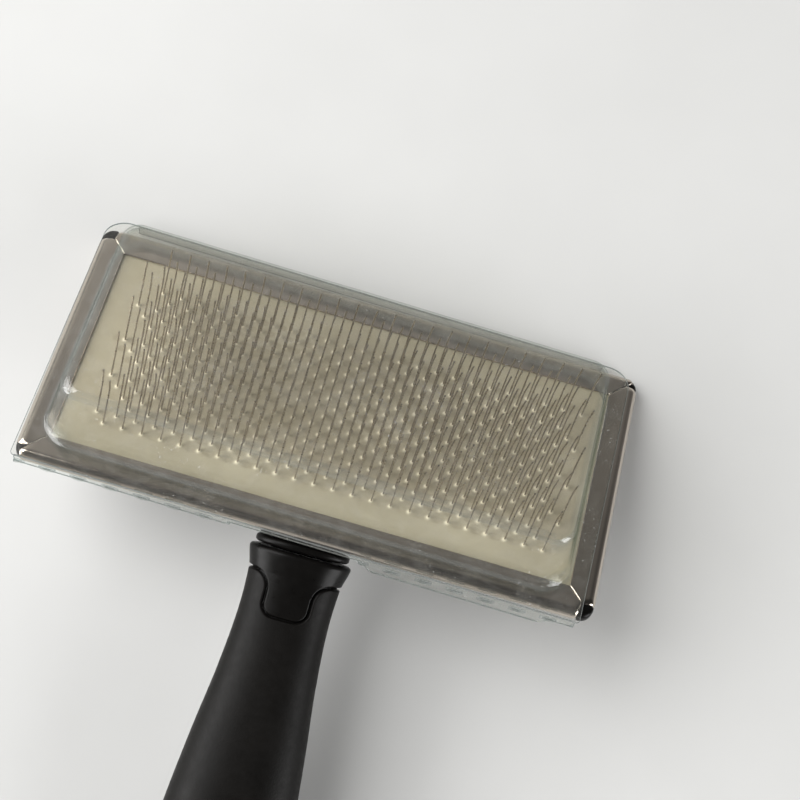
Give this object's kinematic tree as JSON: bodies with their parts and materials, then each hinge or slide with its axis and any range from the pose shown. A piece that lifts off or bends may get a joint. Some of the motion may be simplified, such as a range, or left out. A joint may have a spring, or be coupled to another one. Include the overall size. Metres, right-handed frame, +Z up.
{
  "type": "slicker brush",
  "caption": "Pet slicker brush: steel-framed rubber pad with rows of bent wire pins on a T-shaped head, soft-grip handle, and a clear lift-off cover over the pins.",
  "frame": {"origin": "on the table under the middle of the brush's bounding box, with the brush lying on its back, pins up", "axes": "+Z up from the table, X along the head, -Y from the head towards the butt of the handle; the pad leans back 25.6 degrees, so its outward normal is (0, 0.432, 0.902)"},
  "size_m": [0.1196, 0.1758, 0.0377],
  "materials": {
    "steel": "polished folded steel sheet, faintly warm grey, with fine scratches",
    "wire": "drawn spring wire, grey with small glints",
    "pad_rubber": "smooth beige-grey rubber, satin",
    "cloth": "woven backing cloth",
    "foam": "soft foam",
    "hard_plastic": "black moulded plastic, satin gloss",
    "soft_grip": "black soft-touch skin, matt with a fine grain",
    "screw_steel": "zinc-plated",
    "clear_plastic": "thin clear thermoformed plastic, glossy, lightly scuffed"
  },
  "bodies": {
    "brush": {"steel_frame": "steel", "back_plate": "hard_plastic", "foam_cushion": "foam", "cloth_backing": "cloth", "rubber_face": "pad_rubber", "pin_row_01": "wire", "pin_row_02": "wire", "pin_row_03": "wire", "pin_row_04": "wire", "pin_row_05": "wire", "pin_row_06": "wire", "pin_row_07": "wire", "pin_row_08": "wire", "pin_row_09": "wire", "pin_row_10": "wire", "pin_row_11": "wire", "pin_row_12": "wire", "pin_row_13": "wire", "pin_row_14": "wire", "pin_row_15": "wire", "pin_row_16": "wire", "neck_screw_1": "screw_steel", "neck_screw_2": "screw_steel", "neck_ring": "hard_plastic", "handle_core": "hard_plastic", "grip_sleeve": "soft_grip", "end_cap": "hard_plastic"},
    "cover": {"clear_cover": "clear_plastic"}
  },
  "joints": [
    {"name": "cover_lift", "type": "slide", "parent": "brush", "child": "cover", "axis": [0, 0.4321, 0.9018], "range_m": [0, 0.03]}
  ]
}
